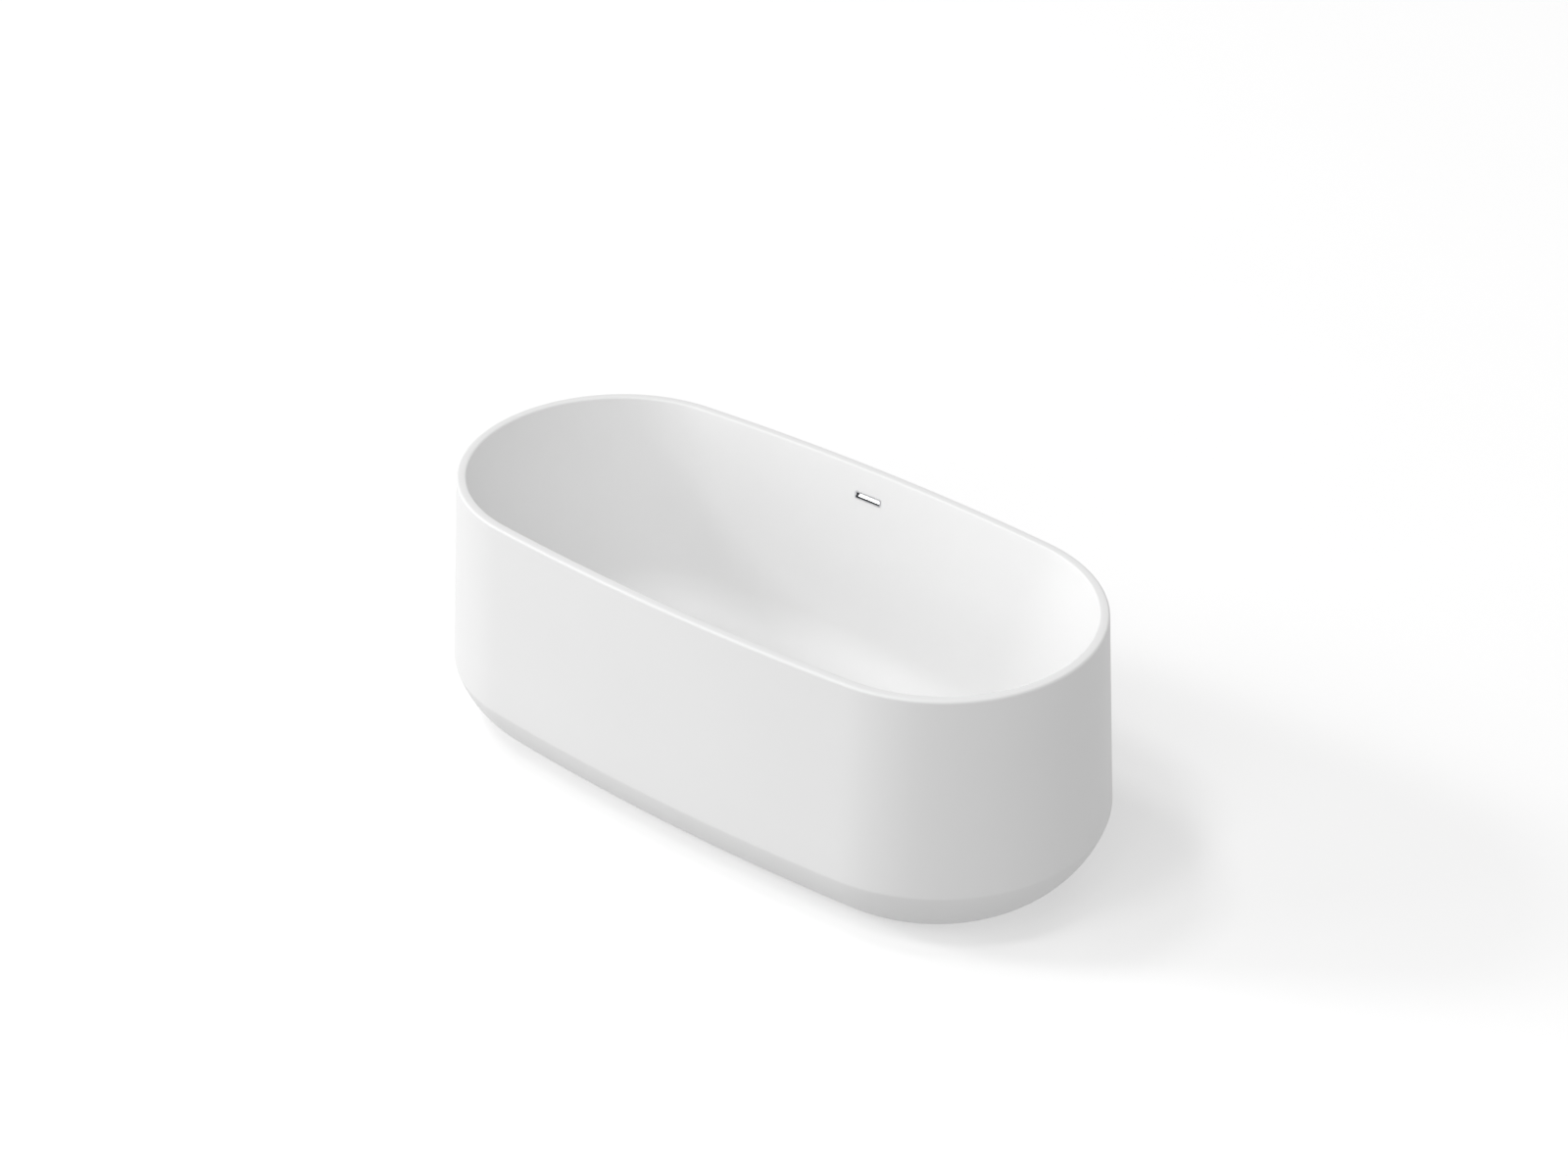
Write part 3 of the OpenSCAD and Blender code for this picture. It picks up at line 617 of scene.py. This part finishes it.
MATERIALS = {
    "acrylic": acrylic_material(),
    "chrome": chrome_material(),
    "zinc_steel": zinc_material(),
    "painted_steel": coated_steel_material(),
    "brass": brass_material(),
    "rubber": rubber_material(),
    "plywood": plywood_material(),
    "grey_plastic": plastic_material("grey_abs", (0.075, 0.080, 0.088), (0.105, 0.112, 0.120)),
    "hose_plastic": plastic_material("hose_plastic", (0.40, 0.41, 0.42), (0.50, 0.51, 0.52)),
}


# The width of the eased edges on the CAD nodes of each slot
EASED_EDGE = {
    "painted_steel": 0.0008, "zinc_steel": 0.0004, "plywood": 0.0006, "chrome": 0.0004,
    "brass": 0.0003, "rubber": 0.0004, "grey_plastic": 0.0005, "hose_plastic": 0.0004,
}


def ease_edges(node, width):
    """Small rounded edges, with shading that follows the larger faces."""
    weld = node.modifiers.new("weld", "WELD")
    weld.merge_threshold = 0.000002
    bevel = node.modifiers.new("eased_edges", "BEVEL")
    bevel.width = width
    bevel.segments = 2
    bevel.limit_method = "ANGLE"
    bevel.angle_limit = radians(40)
    normals = node.modifiers.new("normals", "WEIGHTED_NORMAL")
    normals.keep_sharp = False


def dress_cad_nodes():
    """Each CAD node takes the material of its slot in the record, and slightly eased edges."""
    for subpart in frame["record"]["subparts"]:
        node = nodes[subpart["node"]]
        slot_name = subpart["material_slot"]
        node.data.materials.clear()
        node.data.materials.append(MATERIALS[slot_name])
        if slot_name in EASED_EDGE:
            ease_edges(node, EASED_EDGE[slot_name])


# ---------- Stage, lights and camera ----------

# The camera, from a fit to the tub's outline in the photograph
AIM = Vector((-0.146, 0.2225, 0.300))
AZIMUTH, ELEVATION, DISTANCE = radians(39.11), radians(32.22), 6.868
LENS_MM = 69.96
SENSOR_MM = 36.0
FLOOR_HALF = 30.0
LAMP_TARGET = Vector((0, 0, 0.3))
LAMP_DISTANCE = 40.0
KEY_SIZE, FRONT_SIZE, FILL_SIZE = 6.3, 17.0, 20.0
SKY_STRENGTH = 0.43


def back_vector(azimuth, elevation):
    """From the aim towards a viewer: azimuth 0 stands in front, 90 degrees at +X."""
    return Vector((
        sin(azimuth) * cos(elevation),
        -cos(azimuth) * cos(elevation),
        sin(elevation),
    ))


def make_camera():
    data = bpy.data.cameras.new("camera")
    data.lens = LENS_MM
    data.sensor_width = SENSOR_MM
    camera = bpy.data.objects.new("camera", data)
    back = back_vector(AZIMUTH, ELEVATION)
    camera.location = AIM + back * DISTANCE
    camera.rotation_mode = "QUATERNION"
    camera.rotation_quaternion = (-back).to_track_quat("-Z", "Y")
    scene.collection.objects.link(camera)
    scene.camera = camera


def make_floor():
    """A pale floor with a slight glow. It is left out of the diffuse light on the tub, which no
    real floor is, because its brightness would wash out the shading of the undercut."""
    corners = ((-1, -1), (1, -1), (1, 1), (-1, 1))
    verts = [(x * FLOOR_HALF, y * FLOOR_HALF, 0) for x, y in corners]
    floor = new_piece("studio_floor", verts, [(0, 1, 2, 3)])
    m = Material(
        "studio_floor", Roughness=0.9, Specular_IOR_Level=0.1,
        Emission_Color=(1.0, 1.0, 1.0, 1.0), Emission_Strength=0.20,
    )
    m.colour(m.noise(0.8), (0.925, 0.925, 0.925), (0.935, 0.935, 0.935))
    floor.data.materials.append(m.material)
    floor.visible_diffuse = False


def area_light(name, azimuth, elevation, size, power):
    """A square lamp at LAMP_DISTANCE, its direction in degrees, its light aimed at the tub."""
    data = bpy.data.lights.new(name, "AREA")
    data.shape = "SQUARE"
    data.size = size
    data.energy = power
    light = bpy.data.objects.new(name, data)
    back = back_vector(radians(azimuth), radians(elevation))
    light.location = LAMP_TARGET + back * LAMP_DISTANCE
    light.rotation_mode = "QUATERNION"
    light.rotation_quaternion = (-back).to_track_quat("-Z", "Y")
    light.visible_camera = False
    scene.collection.objects.link(light)


def make_lights():
    """Ten lamps and an even sky. Most of their strengths come from a least-squares fit of
    one-lamp renders to the photograph's brightness, and were then rounded."""
    area_light("side_key", -60, 30, KEY_SIZE, 2500.0)
    area_light("front_key", -42, 30, KEY_SIZE, 500.0)
    area_light("side_top_key", -75, 66, KEY_SIZE, 1500.0)
    area_light("high_key", -30, 66, KEY_SIZE, 1500.0)
    area_light("front_fill", 0, 55, FRONT_SIZE, 1000.0)
    area_light("low_left_fill", -60, 8, FILL_SIZE, 4700.0)
    area_light("low_front_fill", 0, 8, FILL_SIZE, 1200.0)
    area_light("camera_fill", 40, 30, FILL_SIZE, 1500.0)
    area_light("right_fill", 90, 40, FILL_SIZE, 500.0)
    area_light("back_fill", 180, 45, FILL_SIZE, 800.0)
    world = bpy.data.worlds.new("studio")
    world.use_nodes = True
    background = world.node_tree.nodes["Background"]
    background.inputs["Color"].default_value = (1.0, 1.0, 1.0, 1)
    background.inputs["Strength"].default_value = SKY_STRENGTH
    scene.world = world
    scene.view_settings.view_transform = "Standard"
    scene.view_settings.look = "None"
    scene.cycles.use_denoising = True


# ---------- Assembly ----------

make_camera()
make_floor()
make_lights()
dress_cad_nodes()
finish_piece(make_basin(), "tub", "acrylic", "basin")
finish_piece(make_skirt(), "tub", "acrylic", "skirt")
finish_piece(make_plug(), "plug", "chrome", "drain_plug")
finish_piece(make_hose(), "tub", "hose_plastic", "overflow_hose")
for corner in ("front_left", "front_right", "back_left", "back_right"):
    finish_piece(make_stud(corner), "foot_" + corner, "zinc_steel", "stud_" + corner)
